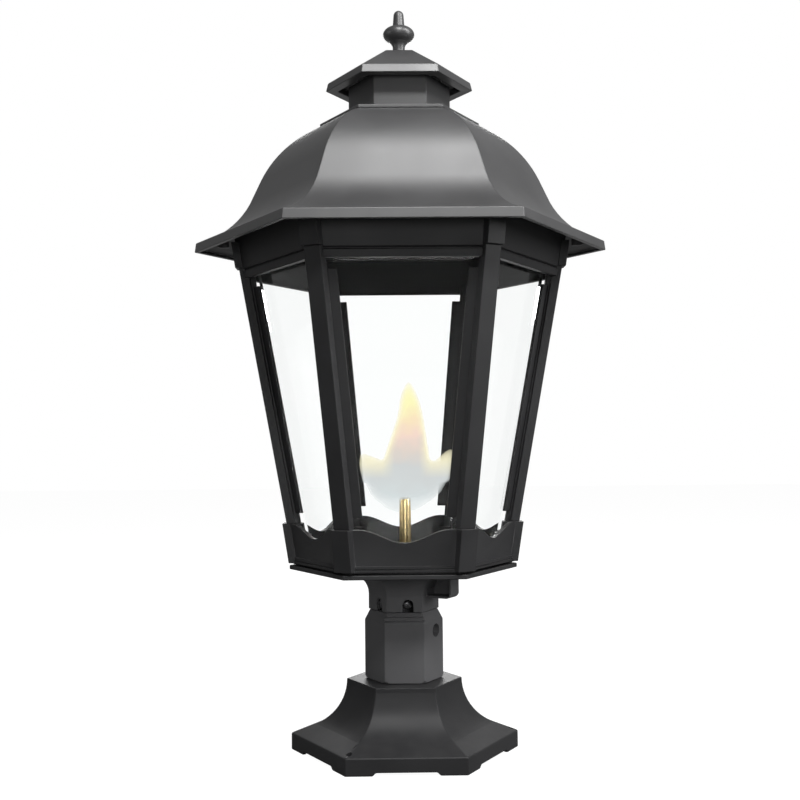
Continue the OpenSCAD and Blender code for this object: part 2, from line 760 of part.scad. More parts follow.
module hinge_pins() {
    overhang = 1.2;
    reach = lug_w / 2 + seat + cheek_w;
    color("#8d9093") for (side = [-1, 1]) translate([side * hinge_x, hinge_y, hinge_z]) rotate([0, 90, 0]) {
        translate([0, 0, -reach - overhang]) cylinder(h = 2 * (reach + overhang), r = hinge_pin_r, $fn = 48);
        for (end = [-reach - overhang - 1, reach + overhang])
            translate([0, 0, end]) cylinder(h = 1, r = hinge_pin_r + 1, $fn = 48);
    }
}

// Chimney collar and the bridge that holds the cap

module chimney_collar() {
    inner_r = chimney_r - chimney_wall / flat;
    color("#4c4d51") difference() {
        union() {
            hex_prism(chimney_flange_r, crown_z, flange_top);
            hex_prism(chimney_r, crown_z, chimney_top);
        }
        hex_prism(inner_r, crown_z - 1, chimney_top + 1);
    }
}

module cap_bridge() {
    arm = chimney_r * flat;
    color("#6a6c70") difference() {
        union() {
            for (a = [90, 210, 330]) rotate([0, 0, a])
                translate([bridge_w / 2, -bridge_w / 2, bridge_foot])
                    cube([arm - 0.5 - bridge_w / 2, bridge_w, bridge_t]);
            bar(bridge_w, bridge_foot, bridge_foot + bridge_t);
            bar(stem_r, bridge_foot, cap_ceiling - seat);
        }
        bar(stud_r + seat, bridge_foot + 4, cap_ceiling + 1);
    }
}

module vent_cap() {
    slope = cap_slope_h / (cap_r - 2 - cap_top_r);
    recess_h = cap_face_h - 1.5;
    inner_top_r = cap_recess_r - (cap_ceiling - cap_foot - recess_h) / slope;
    color("#4a4b4f") difference() {
        six_sided([[0, cap_foot], [cap_r, cap_foot], [cap_r - 2, cap_face_top], [cap_top_r, cap_top], [0, cap_top]]);
        six_sided([[0, cap_foot - 1], [cap_recess_r, cap_foot - 1], [cap_recess_r, cap_foot + recess_h],
            [max(inner_top_r, stem_r + 2), cap_ceiling], [0, cap_ceiling]]);
        bar(stud_r + seat, cap_ceiling - 1, cap_top + 1);
    }
}

// Finial: stud, neck, ball and spindle turned in one piece

module finial() {
    z0 = cap_top + 0.05;
    tip_r = spindle_r * 0.86;
    color("#4a4b4f") union() {
        rotate_extrude($fn = round_fn) polygon(concat(
            [[0, z0], [finial_neck_r + 0.8, z0], [finial_neck_r, z0 + 2],
             [finial_neck_r, neck_top - 4.5]],
            arc_points([finial_neck_r, neck_top - 4.5], [finial_neck_r + 2.5, neck_top], 20, 4),
            [for (i = [1:15]) let (t = -62 + 134 * i / 15)
                [ball_r * cos(t), neck_top + ball_h * (0.5 + 0.5 * sin(t) / sin(68))]],
            [[spindle_r, ball_top + 0.2], [tip_r, ball_top + spindle_h - tip_r]],
            [for (i = [1:5]) let (t = 90 * i / 5)
                [tip_r * cos(t), ball_top + spindle_h - tip_r + tip_r * sin(t)]]));
        bar(stud_r, bridge_foot + 4.5, z0 + 1);
    }
}

// Gas line: supply pipe, valve with its key, burner tube and slotted tip

module supply_pipe() {
    color("#77797c") translate([burner_x, 0, 0]) difference() {
        union() {
            bar(pipe_r - 0.25, pipe_foot, pipe_foot + pipe_end_l);
            bar(pipe_r, pipe_foot + pipe_end_l, valve_foot + 5);
        }
        bar(pipe_r - pipe_wall, pipe_foot - 1, valve_foot + 6);
    }
}

module gas_valve() {
    neck_r = burner_r + 3;
    color("#b08d3c") translate([burner_x, 0, 0]) difference() {
        union() {
            bar(valve_r, valve_foot, valve_top - 4);
            translate([0, 0, valve_top - 4]) cylinder(h = 4, r = neck_r + 1, $fn = 6);
            translate([0, 0, key_z]) rotate([0, 90, 0]) cylinder(h = valve_r + 5, r = 6, $fn = 48);
        }
        bar(pipe_r + seat, valve_foot - 1, valve_foot + 5 + seat);
        bar(2.4, valve_foot, valve_top + 1);
        bar(burner_r + running, valve_top - 3, valve_top + 1);
        translate([0, 0, key_z]) rotate([0, 90, 0]) cylinder(h = valve_r + 9, r = 2.5 + running, $fn = 48);
        slab(valve_foot - 20, valve_foot);
    }
}

module valve_key() {
    bar_x = valve_r + 5 + seat;
    bar_t = 3.2;
    bar_w = 5;
    color("#c9a54a") translate([burner_x, 0, key_z]) {
        translate([valve_r - 6, 0, 0]) rotate([0, 90, 0]) cylinder(h = bar_x - valve_r + 7, r = 2.5, $fn = 48);
        translate([bar_x, -bar_w / 2, -key_l / 2 + bar_w / 2]) cube([bar_t, bar_w, key_l - bar_w]);
        for (end = [-1, 1]) translate([bar_x, 0, end * (key_l - bar_w) / 2])
            rotate([0, 90, 0]) cylinder(h = bar_t, r = bar_w / 2, $fn = 32);
    }
}

module burner_tube() {
    color("#c9a54a") translate([burner_x, 0, 0]) difference() {
        bar(burner_r, valve_top - 3 + 0.05, burner_top - tip_h);
        bar(burner_r - 1.2, valve_top - 4, burner_top);
    }
}

module burner_tip() {
    dome_h = 3;
    color("#c4a562") translate([burner_x, 0, 0]) difference() {
        union() {
            bar(burner_r, burner_top - tip_h + 0.05, burner_top - dome_h);
            rotate_extrude($fn = round_fn) polygon(concat([[0, burner_top - dome_h]],
                arc_points([burner_r, burner_top - dome_h], [burner_r - 2.6, burner_top], -30, 5),
                [[0, burner_top]]));
        }
        bar(burner_r - 1.8, burner_top - tip_h - 1, burner_top - 2 * dome_h);
        translate([-burner_r - 1, -0.6, burner_top - 2.6 * dome_h])
            cube([2 * burner_r + 2, 1.2, 3 * dome_h]);
    }
}

pier_base();
stub_tube();
hex_collar();
post_fitter();
clamp_screws();
floor_plate();
flange_screws();
base_ring();
corner_post_1();
corner_post_2();
corner_post_3();
corner_post_4();
corner_post_5();
corner_post_6();
glass_pane_1();
glass_pane_2();
glass_pane_3();
glass_pane_4();
glass_pane_5();
glass_pane_6();
glass_clips();
top_ring();
roof();
hinge_brackets();
hinge_pins();
chimney_collar();
cap_bridge();
vent_cap();
finial();
supply_pipe();
gas_valve();
valve_key();
burner_tube();
burner_tip();
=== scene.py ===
"""Six-sided open-flame gas lantern on a pier mount: coats, castings, fasteners, glass, flame and studio."""
import logging
import math
from dataclasses import dataclass
from enum import Enum
from typing import Sequence

import bmesh
import bpy
from mathutils import Matrix, Vector


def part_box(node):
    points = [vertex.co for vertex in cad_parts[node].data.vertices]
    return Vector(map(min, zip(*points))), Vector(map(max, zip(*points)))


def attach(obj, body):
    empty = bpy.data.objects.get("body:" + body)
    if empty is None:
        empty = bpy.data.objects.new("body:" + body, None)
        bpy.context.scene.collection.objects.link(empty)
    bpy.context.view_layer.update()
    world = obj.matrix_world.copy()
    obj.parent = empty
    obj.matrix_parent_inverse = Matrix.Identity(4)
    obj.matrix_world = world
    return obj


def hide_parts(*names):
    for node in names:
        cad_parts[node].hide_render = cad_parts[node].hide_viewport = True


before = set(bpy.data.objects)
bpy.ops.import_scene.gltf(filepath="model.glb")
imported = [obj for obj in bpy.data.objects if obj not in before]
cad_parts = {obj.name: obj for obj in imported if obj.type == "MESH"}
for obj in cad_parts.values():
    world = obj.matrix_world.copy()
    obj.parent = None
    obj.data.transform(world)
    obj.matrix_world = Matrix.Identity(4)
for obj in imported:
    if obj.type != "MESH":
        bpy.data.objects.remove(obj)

log = logging.getLogger("gas_lantern")

MM = 0.001
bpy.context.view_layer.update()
CORNER_ANGLES = (0, 60, 120, 180, 240, 300)
FACET_ANGLES = (30, 90, 150, 210, 270, 330)

Tree = bpy.types.NodeTree
Node = bpy.types.Node
Outputs = bpy.types.NodeOutputs
Socket = bpy.types.NodeSocket
Material = bpy.types.Material
Mesh = bpy.types.Mesh
WorkMesh = bmesh.types.BMesh
Colour = tuple[float, float, float]
Place = tuple[float, float, float]
Span = tuple[float, float]
Profile = Sequence[tuple[float, float]]


class Body(Enum):
    """The moving bodies of the lantern."""

    LAMP = "lamp"
    ROOF = "roof"
    KEY = "valve_key"


class Drive(Enum):
    """How a screw's head is turned."""

    SLOT = "slot"
    HEX = "hex socket"


# Shader nodes


def feed(tree: Tree, value: float | Socket, socket: Socket) -> None:
    """Give an input a number, or link it to another socket.

    Args:
        tree: Node tree of the input.
        value: Number, or the socket that the input reads.
        socket: The input.
    """
    if isinstance(value, Socket):
        tree.links.new(value, socket)
    else:
        socket.default_value = value


def noise(tree: Tree, position: Socket, scale: float | Socket, detail: float) -> Socket:
    """Add a noise texture that reads a position.

    Args:
        tree: Node tree that takes the texture.
        position: Socket with the position in metres.
        scale: Cells per metre, a number or a socket.
        detail: Number of finer layers.

    Returns:
        The noise's value.
    """
    node = tree.nodes.new("ShaderNodeTexNoise")
    node.inputs["Detail"].default_value = detail
    feed(tree, scale, node.inputs["Scale"])
    tree.links.new(position, node.inputs["Vector"])
    return node.outputs["Fac"]


def spread(tree: Tree, value: Socket, old: Span, new: Span) -> Socket:
    """Map a value from one range to another, with the ends held.

    Args:
        tree: Node tree that takes the node.
        value: Socket to map.
        old: Low and high of the incoming range.
        new: Low and high of the outgoing range.

    Returns:
        The mapped value's socket.
    """
    node = tree.nodes.new("ShaderNodeMapRange")
    for label, number in zip(("From Min", "From Max", "To Min", "To Max"), (*old, *new)):
        node.inputs[label].default_value = number
    tree.links.new(value, node.inputs["Value"])
    return node.outputs["Result"]


def arithmetic(tree: Tree, kind: str, a: Socket, b: float | Socket = 0.0) -> Socket:
    """Work out one or two values with a math node.

    Args:
        tree: Node tree that takes the node.
        kind: Math operation.
        a: First value.
        b: Second value, a socket or a number, where the operation has one.

    Returns:
        The result's socket.
    """
    node = tree.nodes.new("ShaderNodeMath")
    node.operation = kind
    tree.links.new(a, node.inputs[0])
    feed(tree, b, node.inputs[1])
    return node.outputs[0]


def axes(tree: Tree, vector: Socket) -> Outputs:
    """Split a vector; the outputs are X, Y and Z."""
    node = tree.nodes.new("ShaderNodeSeparateXYZ")
    tree.links.new(vector, node.inputs[0])
    return node.outputs


def surface_normal(tree: Tree) -> Socket:
    """Normal of the surface that is shaded."""
    return tree.nodes.new("ShaderNodeNewGeometry").outputs["Normal"]


def two_colours(tree: Tree, mask: Socket, low: Socket | Colour, high: Colour) -> Socket:
    """Mix two colours by a mask.

    Args:
        tree: Node tree that takes the node.
        mask: 0 for the low colour and 1 for the high one.
        low: Colour, or a colour socket, where the mask is 0.
        high: Colour where the mask is 1.

    Returns:
        The mixed colour's socket.
    """
    node = tree.nodes.new("ShaderNodeMix")
    node.data_type = "RGBA"
    tree.links.new(mask, node.inputs[0])
    feed(tree, (*low, 1.0) if isinstance(low, tuple) else low, node.inputs[6])
    node.inputs[7].default_value = (*high, 1.0)
    return node.outputs[2]


def add_bump(tree: Tree, shader: Node, height: Socket, depth: float, strength: float) -> None:
    """Feed a height into the shader's normal.

    Args:
        tree: Material tree.
        shader: Principled shader.
        height: Socket with the height from 0 to 1.
        depth: Depth of the full height, in metres.
        strength: Strength of the effect.
    """
    bump = tree.nodes.new("ShaderNodeBump")
    bump.inputs["Distance"].default_value = depth
    bump.inputs["Strength"].default_value = strength
    tree.links.new(height, bump.inputs["Height"])
    tree.links.new(bump.outputs["Normal"], shader.inputs["Normal"])


def direct_rays(tree: Tree, way: Socket, reach: Span, mirrored_white: Span = (0.04, 0.4)) -> Socket:
    """Mask of the rays that show the white background: from the camera, through glass or off a mirror.

    Args:
        tree: Tree that takes the nodes.
        way: Place or direction whose Y tells the near side of the studio from the far side.
        reach: Y up to which a mirror sees the near side, and Y from which it sees the far side.
        mirrored_white: How much white a mirror sees on the near side and on the far side.

    Returns:
        A socket that is 1 where the white shows.
    """
    path = tree.nodes.new("ShaderNodeLightPath")
    side = spread(tree, axes(tree, way)["Y"], reach, mirrored_white)
    mirrored = arithmetic(tree, "MULTIPLY", path.outputs["Is Glossy Ray"], side)
    straight = arithmetic(tree, "MAXIMUM", path.outputs["Is Camera Ray"], path.outputs["Is Transmission Ray"])
    return arithmetic(tree, "MAXIMUM", straight, mirrored)


# Shader groups


def shader_group(name: str, numbers: dict[str, float], gives: Sequence[str]) -> Tree:
    """Make an empty shader group that reads a position and some numbers.

    Args:
        name: Name of the group.
        numbers: Names of the numbers that go in, with their default values.
        gives: Names of the numbers that come out.

    Returns:
        The group, with only its input and output nodes.
    """
    tree = bpy.data.node_groups.new(name, "ShaderNodeTree")
    tree.interface.new_socket("Position", in_out="INPUT", socket_type="NodeSocketVector")
    for label, value in numbers.items():
        socket = tree.interface.new_socket(label, in_out="INPUT", socket_type="NodeSocketFloat")
        socket.default_value = value
    for label in gives:
        tree.interface.new_socket(label, in_out="OUTPUT", socket_type="NodeSocketFloat")
    tree.nodes.new("NodeGroupInput")
    tree.nodes.new("NodeGroupOutput")
    return tree


def build_coat_texture() -> Tree:
    """Shader group for sprayed powder on cast metal: fine pimples over a soft unevenness.

    Returns:
        The group, with inputs Position, Pimple Scale and Patch Scale, and outputs Height and Patch.
    """
    swell_scale = 130.0
    pimple_share, swell_share = 0.8, 0.2
    tree = shader_group("coat_texture", {"Pimple Scale": 900.0, "Patch Scale": 18.0}, ("Height", "Patch"))
    given, result = tree.nodes["Group Input"].outputs, tree.nodes["Group Output"].inputs
    pimples = noise(tree, given["Position"], given["Pimple Scale"], 2.0)
    patches = noise(tree, given["Position"], given["Patch Scale"], 4.0)
    swell = noise(tree, given["Position"], swell_scale, 2.0)
    height = arithmetic(tree, "ADD", arithmetic(tree, "MULTIPLY", pimples, pimple_share),
                        arithmetic(tree, "MULTIPLY", swell, swell_share))
    tree.links.new(height, result["Height"])
    tree.links.new(spread(tree, patches, (0.34, 0.66), (0.0, 1.0)), result["Patch"])
    return tree


def build_painted_top_sheen() -> Tree:
    """Shader group for a painted highlight: faces that look up are lightened, as if lit from above, in a
    mottled pattern.

    Returns:
        The group, with inputs Position, Up and Amount, and the output Mask.
    """
    speckle_scale = 60.0
    tree = shader_group("painted_top_sheen", {"Up": 0.0, "Amount": 0.3}, ("Mask",))
    given, result = tree.nodes["Group Input"].outputs, tree.nodes["Group Output"].inputs
    speckle = noise(tree, given["Position"], speckle_scale, 6.0)
    facing = spread(tree, given["Up"], (0.25, 1.0), (0.0, 1.0))
    sheen_mottle = spread(tree, speckle, (0.38, 0.72), (0.15, 1.0))
    # Painted highlight: strongest on faces that look straight up, broken up by noise.
    upward_sheen = arithmetic(tree, "MULTIPLY", facing, sheen_mottle)
    tree.links.new(arithmetic(tree, "MULTIPLY", upward_sheen, given["Amount"]), result["Mask"])
    return tree


COAT_TEXTURE = build_coat_texture()
PAINTED_TOP_SHEEN = build_painted_top_sheen()


def place_group(tree: Tree, group: Tree, **values: float | Socket) -> Outputs:
    """Place a shader group with its own numbers.

    Args:
        tree: Material tree that takes the group.
        group: Group to place.
        **values: Numbers or sockets for the group's inputs, with underscores for spaces.

    Returns:
        The outputs of the placed group.
    """
    node = tree.nodes.new("ShaderNodeGroup")
    node.node_tree = group
    for label, value in values.items():
        feed(tree, value, node.inputs[label.replace("_", " ")])
    return node.outputs


# Finishes


def new_material(name: str) -> tuple[Material, Tree, Node, Socket]:
    """Start a material on a Principled shader.

    Args:
        name: Name of the material.

    Returns:
        The material, its tree, its shader node and the object position socket.
    """
    material = bpy.data.materials.new(name)
    material.use_nodes = True
    tree = material.node_tree
    place = tree.nodes.new("ShaderNodeTexCoord")
    return material, tree, tree.nodes["Principled BSDF"], place.outputs["Object"]


@dataclass(frozen=True)
class PowderCoat:
    """Satin black powder coat on cast aluminium; scales are per metre and the depth is in metres."""

    name: str
    colour: Colour
    faded: Colour
    specular: float
    roughness: Span
    # Painted highlight on faces that look up: its strength and its pale colour.
    sheen_amount: float
    sheen_colour: Colour = (0.16, 0.155, 0.15)
    pimple_scale: float = 950.0
    patch_scale: float = 16.0
    bump_depth: float = 0.00012
    bump_strength: float = 0.28

    def build(self) -> Material:
        """Make the material."""
        material, tree, shader, position = new_material(self.name)
        grain = place_group(tree, COAT_TEXTURE, Position=position, Pimple_Scale=self.pimple_scale,
                            Patch_Scale=self.patch_scale)
        up = axes(tree, surface_normal(tree))["Z"]
        # Painted highlight: faces that look up are lightened towards the pale sheen colour.
        sheen = place_group(tree, PAINTED_TOP_SHEEN, Position=position, Up=up, Amount=self.sheen_amount)
        coat = two_colours(tree, grain["Patch"], self.colour, self.faded)
        tree.links.new(two_colours(tree, sheen["Mask"], coat, self.sheen_colour), shader.inputs["Base Color"])
        roughness = spread(tree, grain["Patch"], (0.0, 1.0), self.roughness)
        tree.links.new(roughness, shader.inputs["Roughness"])
        shader.inputs["Specular IOR Level"].default_value = self.specular
        add_bump(tree, shader, grain["Height"], self.bump_depth, self.bump_strength)
        return material


@dataclass(frozen=True)
class DrawnMetal:
    """Bare or plated metal with fine lines along its length; scales are per metre, the depth in metres."""

    name: str
    colour: Colour
    stained: Colour
    roughness: Span = (0.24, 0.42)
    line_stretch: Place = (1.0, 1.0, 0.04)
    line_scale: float = 1600.0
    line_depth: float = 0.00004
    line_strength: float = 0.25
    stain_scale: float = 55.0

    def build(self) -> Material:
        """Make the material."""
        material, tree, shader, position = new_material(self.name)
        stretch = tree.nodes.new("ShaderNodeMapping")
        stretch.inputs["Scale"].default_value = self.line_stretch
        tree.links.new(position, stretch.inputs["Vector"])
        lines = noise(tree, stretch.outputs["Vector"], self.line_scale, 3.0)
        stains = spread(tree, noise(tree, position, self.stain_scale, 5.0), (0.42, 0.68), (0.0, 1.0))
        tree.links.new(two_colours(tree, stains, self.colour, self.stained), shader.inputs["Base Color"])
        tree.links.new(spread(tree, lines, (0.3, 0.7), self.roughness), shader.inputs["Roughness"])
        shader.inputs["Metallic"].default_value = 1.0
        add_bump(tree, shader, lines, self.line_depth, self.line_strength)
        return material


@dataclass(frozen=True)
class WindowGlass:
    """Clear flat glass with the faintest smears."""

    name: str = "window_glass"
    ior: float = 1.12
    clear: Colour = (1.0, 1.0, 1.0)
    tinted: Colour = (0.985, 1.0, 0.995)
    smear_scale: float = 14.0
    smear: float = 0.004

    def build(self) -> Material:
        """Make the material."""
        material, tree, shader, position = new_material(self.name)
        smears = noise(tree, position, self.smear_scale, 4.0)
        tree.links.new(spread(tree, smears, (0.5, 0.75), (0.0, self.smear)), shader.inputs["Roughness"])
        tree.links.new(two_colours(tree, smears, self.clear, self.tinted), shader.inputs["Base Color"])
        shader.inputs["Transmission Weight"].default_value = 1.0
        shader.inputs["IOR"].default_value = self.ior
        return material


@dataclass(frozen=True)
class GasFlame:
    """Pale gas flame: blue-grey foot, rosy core and a yellow mantle that fades at its rim.

    Heights, centre_x, wing_reach and rim_depth are in metres.
    """

    name: str = "gas_flame"
    foot_z: float = 0.240
    tip_z: float = 0.360
    stops: tuple[tuple[float, Colour], ...] = (
        (0.0, (0.68, 0.74, 0.75)), (0.28, (0.64, 0.66, 0.66)), (0.44, (0.75, 0.67, 0.61)),
        (0.58, (0.92, 0.71, 0.61)), (0.72, (0.97, 0.80, 0.54)), (0.84, (1.0, 0.96, 0.53)))
    mantle: Colour = (0.99, 0.93, 0.64)
    mantle_foot: Span = (0.266, 0.284)
    mantle_facing: Span = (0.06, 0.36)
    centre_x: float = 0.004
    wing_reach: Span = (0.012, 0.024)
    wing_share: float = 0.85
    opacity: float = 0.97
    fading: Span = (0.25, 0.85)
    rim_depth: Span = (0.0005, 0.0075)
    rim_turn: Span = (0.6, 0.95)
    waver_scale: float = 48.0
    waver: float = 0.06

    def core(self, tree: Tree, height: Socket) -> Socket:
        """Colour of the core at a height.

        Args:
            tree: Material tree.
            height: Height from 0 at the foot to 1 at the tip.

        Returns:
            The colour's socket.
        """
        ramp = tree.nodes.new("ShaderNodeValToRGB")
        tree.links.new(height, ramp.inputs["Fac"])
        for place, _ in self.stops[1:-1]:
            ramp.color_ramp.elements.new(place)
        for element, (place, colour) in zip(ramp.color_ramp.elements, self.stops):
            element.position = place
            element.color = (*colour, 1.0)
        return ramp.outputs["Color"]

    def mantle_mask(self, tree: Tree, place: Outputs, facing: Socket) -> Socket:
        """Where the mantle covers the core: at the rim and in the wings, but not at the foot.

        Args:
            tree: Material tree.
            place: X, Y and Z of the point.
            facing: 0 where the surface faces the viewer and 1 at its rim, with the waver in it.

        Returns:
            The mask's socket.
        """
        outer = spread(tree, facing, self.mantle_facing, (0.0, 1.0))
        raised = spread(tree, place["Z"], self.mantle_foot, (0.0, 1.0))
        off_centre = arithmetic(tree, "ABSOLUTE", arithmetic(tree, "SUBTRACT", place["X"], self.centre_x))
        wings = spread(tree, off_centre, self.wing_reach, (0.0, self.wing_share))
        return arithmetic(tree, "MULTIPLY", arithmetic(tree, "MAXIMUM", outer, wings), raised)

    def alpha(self, tree: Tree, place: Outputs, facing: Socket) -> Socket:
        """How dense the flame is: it fades where it turns away and where the fan is thin.

        Args:
            tree: Material tree.
            place: X, Y and Z of the point.
            facing: 0 where the surface faces the viewer and 1 at its rim.

        Returns:
            The alpha's socket.
        """
        sideways = arithmetic(tree, "ABSOLUTE", axes(tree, surface_normal(tree))["X"])
        thick = spread(tree, arithmetic(tree, "ABSOLUTE", place["Y"]), self.rim_depth, (0.0, 1.0))
        turned = spread(tree, sideways, self.rim_turn, (0.0, 1.0))
        body = spread(tree, facing, self.fading, (self.opacity, 0.0))
        return arithmetic(tree, "MULTIPLY", body, arithmetic(tree, "MAXIMUM", thick, turned))

    def build(self) -> Material:
        """Make the material."""
        material, tree, shader, position = new_material(self.name)
        place = axes(tree, position)
        level = spread(tree, place["Z"], (self.foot_z, self.tip_z), (0.0, 1.0))
        flutter = noise(tree, position, self.waver_scale, 2.0)
        waver = spread(tree, flutter, (0.3, 0.7), (-self.waver, self.waver))
        weight = tree.nodes.new("ShaderNodeLayerWeight")
        weight.inputs["Blend"].default_value = 0.5
        facing = weight.outputs["Facing"]
        core = self.core(tree, arithmetic(tree, "ADD", level, waver))
        mask = self.mantle_mask(tree, place, arithmetic(tree, "ADD", facing, waver))
        tree.links.new(two_colours(tree, mask, core, self.mantle), shader.inputs["Emission Color"])
        tree.links.new(self.alpha(tree, place, facing), shader.inputs["Alpha"])
        shader.inputs["Emission Strength"].default_value = 1.0
        shader.inputs["Base Color"].default_value = (0.0, 0.0, 0.0, 1.0)
        shader.inputs["Specular IOR Level"].default_value = 0.0
        return material


@dataclass(frozen=True)
class StudioWhite:
    """White studio paper that keeps a soft shadow."""

    name: str = "studio_white"
    paper: Colour = (0.12, 0.12, 0.12)
    fibre_shade: float = 0.97
    fibre_scale: float = 220.0
    shown: Colour = (0.16, 0.16, 0.16)
    glow: float = 0.97
    reach: Span = (0.5, 2.0)

    def build(self) -> Material:
        """Make the material."""
        material = bpy.data.materials.new(self.name)
        material.use_nodes = True
        tree = material.node_tree
        tree.nodes.clear()
        output = tree.nodes.new("ShaderNodeOutputMaterial")
        paper, seen, glow = (tree.nodes.new(kind) for kind in
                             ("ShaderNodeBsdfDiffuse", "ShaderNodeBsdfDiffuse", "ShaderNodeEmission"))
        position = tree.nodes.new("ShaderNodeTexCoord").outputs["Object"]
        fibres = noise(tree, position, self.fibre_scale, 3.0)
        shaded = tuple(self.fibre_shade * part for part in self.paper)
        tree.links.new(two_colours(tree, fibres, shaded, self.paper), paper.inputs["Color"])
        seen.inputs["Color"].default_value = (*self.shown, 1.0)
        glow.inputs["Strength"].default_value = self.glow
        both, choice = tree.nodes.new("ShaderNodeAddShader"), tree.nodes.new("ShaderNodeMixShader")
        tree.links.new(seen.outputs[0], both.inputs[0])
        tree.links.new(glow.outputs[0], both.inputs[1])
        tree.links.new(direct_rays(tree, position, self.reach), choice.inputs["Fac"])
        tree.links.new(paper.outputs[0], choice.inputs[1])
        tree.links.new(both.outputs[0], choice.inputs[2])
        tree.links.new(choice.outputs[0], output.inputs["Surface"])
        return material


# All castings wear one satin black powder coat. These copies differ in colour only as painted light and
# shade: the mount coat is lightened as painted light on the collar and fitter, which sit in shade under the
# lantern, and the frame and base coats are darker than the hood coat as painted shade under the brim and
# under the lantern.
HOOD_COAT = PowderCoat("hood_coat", (0.036, 0.036, 0.037), (0.046, 0.046, 0.047), specular=0.85,
                       roughness=(0.40, 0.46), sheen_amount=0.04)
FRAME_COAT = PowderCoat("frame_coat", (0.021, 0.021, 0.022), (0.027, 0.027, 0.028), specular=0.22,
                        roughness=(0.44, 0.54), sheen_amount=0.20)
BASE_COAT = PowderCoat("base_coat", (0.020, 0.020, 0.021), (0.025, 0.025, 0.026), specular=0.16,
                       roughness=(0.40, 0.48), sheen_amount=0.05, pimple_scale=760.0)
LIGHTENED_MOUNT_COAT = PowderCoat("lightened_mount_coat", (0.080, 0.080, 0.083), (0.094, 0.094, 0.097), specular=0.40,
                        roughness=(0.50, 0.60), sheen_amount=0.05, pimple_scale=760.0)
PLATED_STEEL = DrawnMetal("plated_steel", (0.50, 0.50, 0.51), (0.33, 0.33, 0.34))
# The tube and the clamp screws are the same blackened steel; the tube's much darker colour is painted shade,
# for the tube seen deep in the fitter's slots.
TUBE_STEEL = DrawnMetal("tube_steel", (0.026, 0.026, 0.028), (0.018, 0.018, 0.018), roughness=(0.34, 0.50))
SCREW_STEEL = DrawnMetal("screw_steel", (0.12, 0.12, 0.125), (0.06, 0.06, 0.06), roughness=(0.24, 0.36))
SPRING_STEEL = DrawnMetal("spring_steel", (0.46, 0.43, 0.38), (0.26, 0.22, 0.17),
                          line_stretch=(0.05, 1.0, 1.0))
BRASS = DrawnMetal("drawn_brass", (0.62, 0.48, 0.25), (0.46, 0.32, 0.14), roughness=(0.22, 0.34),
                   line_scale=5200.0, line_strength=0.02, stain_scale=30.0)


# Meshes


def add_piece(name: str, mesh: Mesh, body: Body, slot: str, material: Material,
              stands_for: Sequence[str] = ()) -> bpy.types.Object:
    """Put a finished mesh in the scene and on its body.

    Args:
        name: Name of the piece.
        mesh: Mesh with its place in its vertices.
        body: Body that it moves with.
        slot: Material slot of the record, or an empty string; not used.
        material: Material that it wears.
        stands_for: Nodes of the frame that it replaces.

    Returns:
        The new object.
    """
    piece = loose_object(name, mesh)
    mesh.materials.clear()
    mesh.materials.append(material)
    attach(piece, body.value)
    if stands_for:
        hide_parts(*stands_for)
    log.info("%s rides on %s with %d faces", name, body.value, len(mesh.polygons))
    return piece


def loose_object(name: str, data: bpy.types.ID) -> bpy.types.Object:
    """Link an object that rides on no body yet.

    Args:
        name: Name of the object.
        data: Its mesh, lamp or camera.

    Returns:
        The linked object.
    """
    thing = bpy.data.objects.new(name, data)
    bpy.context.scene.collection.objects.link(thing)
    return thing


def baked(source: bpy.types.Object) -> Mesh:
    """Mesh of an object with its modifiers worked in.

    Args:
        source: Object to read; it is removed afterwards.

    Returns:
        The plain mesh.
    """
    depsgraph = bpy.context.evaluated_depsgraph_get()
    mesh = bpy.data.meshes.new_from_object(source.evaluated_get(depsgraph))
    bpy.data.objects.remove(source)
    return mesh


def smooth(mesh: Mesh, crease: float) -> None:
    """Shade a mesh smooth, with sharp edges past an angle.

    Args:
        mesh: Mesh to shade.
        crease: Angle in degrees.
    """
    mesh.polygons.foreach_set("use_smooth", [True] * len(mesh.polygons))
    mesh.set_sharp_from_angle(angle=math.radians(crease))


def mesh_of(name: str, work: WorkMesh) -> Mesh:
    """Turn a work mesh into a stored one.

    Args:
        name: Name of the mesh.
        work: Work mesh, freed afterwards.

    Returns:
        The stored mesh.
    """
    mesh = bpy.data.meshes.new(name)
    work.to_mesh(mesh)
    work.free()
    return mesh


def skin(work: WorkMesh, rings: Sequence[list[bmesh.types.BMVert]]) -> None:
    """Join rings of vertices with faces and close both ends.

    Args:
        work: Work mesh that holds the vertices.
        rings: Rings with as many vertices each, from bottom to top.
    """
    for low, high in zip(rings, rings[1:]):
        for i in range(len(low)):
            j = (i + 1) % len(low)
            work.faces.new((low[i], low[j], high[j], high[i]))
    work.faces.new(rings[0][::-1])
    work.faces.new(rings[-1])


def lathe(profile: Profile, steps: int) -> WorkMesh:
    """Spin a profile of radius and height about Z into a closed shape.

    Args:
        profile: Radii and heights in metres, from bottom to top.
        steps: Number of steps round the axis.

    Returns:
        The work mesh.
    """
    work = bmesh.new()
    angles = [2 * math.pi * i / steps for i in range(steps)]
    skin(work, [[work.verts.new((r * math.cos(a), r * math.sin(a), z)) for a in angles] for r, z in profile])
    bmesh.ops.recalc_face_normals(work, faces=work.faces)
    return work


